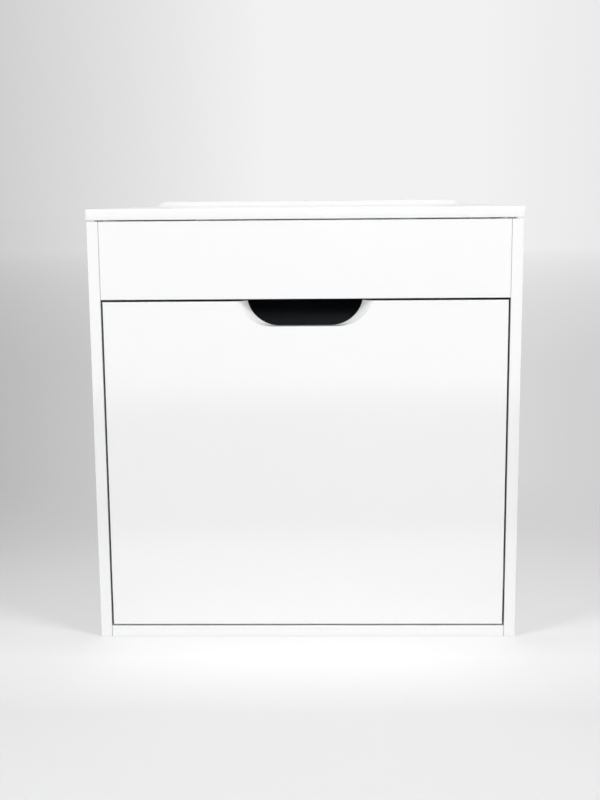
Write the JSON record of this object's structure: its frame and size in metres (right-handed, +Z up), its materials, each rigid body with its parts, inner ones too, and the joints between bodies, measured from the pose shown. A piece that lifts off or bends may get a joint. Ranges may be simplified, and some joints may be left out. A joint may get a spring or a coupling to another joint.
{
  "type": "vanity unit",
  "caption": "Wall-hung vanity unit: a white cabinet with one deep drawer, a bevelled finger pull and a thin moulded basin on top.",
  "frame": {"origin": "centre of the four wall fixing holes, in the plane of the wall", "axes": "+Y into the wall, so the front faces -Y; +Z up; +X to the right seen from the front"},
  "size_m": [0.604, 0.46, 0.6235],
  "materials": {
    "white_lacquer": "gloss white lacquer on board",
    "white_board": "satin white melamine-faced board",
    "dark_board": "matte anthracite linen-look board",
    "glaze": "white gloss glaze",
    "clear_pad": "soft clear plastic",
    "screw_steel": "zinc-plated steel",
    "runner_steel": "bright zinc-plated rolled steel",
    "cage_steel": "thin plated steel strip",
    "ball_steel": "polished steel"
  },
  "bodies": {
    "cabinet": {"side_left": "white_lacquer", "side_right": "white_lacquer", "bottom_panel": "white_lacquer", "fascia": "white_lacquer", "rail_top": "white_board", "rail_bottom": "white_board", "back_panel": "dark_board", "basin": "glaze", "basin_pads": "clear_pad", "runner_cabinet_left": "runner_steel", "runner_cabinet_right": "runner_steel", "cabinet_runner_screws": "screw_steel"},
    "drawer": {"drawer_front": "white_lacquer", "drawer_inner_front": "dark_board", "drawer_side_left": "dark_board", "drawer_side_right": "dark_board", "drawer_back_left": "dark_board", "drawer_back_right": "dark_board", "recess_side_left": "dark_board", "recess_side_right": "dark_board", "recess_front": "dark_board", "drawer_bottom": "dark_board", "front_screws": "screw_steel", "runner_drawer_left": "runner_steel", "runner_drawer_right": "runner_steel", "drawer_runner_screws": "screw_steel"},
    "middle_left": {"runner_middle_left": "runner_steel"},
    "outer_cage_left": {"cage_outer_left": "cage_steel", "balls_outer_left": "ball_steel"},
    "inner_cage_left": {"cage_inner_left": "cage_steel", "balls_inner_left": "ball_steel"},
    "middle_right": {"runner_middle_right": "runner_steel"},
    "outer_cage_right": {"cage_outer_right": "cage_steel", "balls_outer_right": "ball_steel"},
    "inner_cage_right": {"cage_inner_right": "cage_steel", "balls_inner_right": "ball_steel"}
  },
  "joints": [
    {"name": "drawer_slide", "type": "slide", "parent": "cabinet", "child": "drawer", "axis": [0, -1, 0], "range_m": [0, 0.4]},
    {"name": "middle_left_slide", "type": "slide", "parent": "cabinet", "child": "middle_left", "axis": [0, -1, 0], "range_m": [0, 0.2]},
    {"name": "outer_cage_left_slide", "type": "slide", "parent": "cabinet", "child": "outer_cage_left", "axis": [0, -1, 0], "range_m": [0, 0.1]},
    {"name": "inner_cage_left_slide", "type": "slide", "parent": "cabinet", "child": "inner_cage_left", "axis": [0, -1, 0], "range_m": [0, 0.3]},
    {"name": "middle_right_slide", "type": "slide", "parent": "cabinet", "child": "middle_right", "axis": [0, -1, 0], "range_m": [0, 0.2]},
    {"name": "outer_cage_right_slide", "type": "slide", "parent": "cabinet", "child": "outer_cage_right", "axis": [0, -1, 0], "range_m": [0, 0.1]},
    {"name": "inner_cage_right_slide", "type": "slide", "parent": "cabinet", "child": "inner_cage_right", "axis": [0, -1, 0], "range_m": [0, 0.3]}
  ],
  "couplings": [
    {"joint": "middle_left_slide", "follows": "drawer_slide", "ratio": 0.5},
    {"joint": "outer_cage_left_slide", "follows": "drawer_slide", "ratio": 0.25},
    {"joint": "inner_cage_left_slide", "follows": "drawer_slide", "ratio": 0.75},
    {"joint": "middle_right_slide", "follows": "drawer_slide", "ratio": 0.5},
    {"joint": "outer_cage_right_slide", "follows": "drawer_slide", "ratio": 0.25},
    {"joint": "inner_cage_right_slide", "follows": "drawer_slide", "ratio": 0.75}
  ]
}
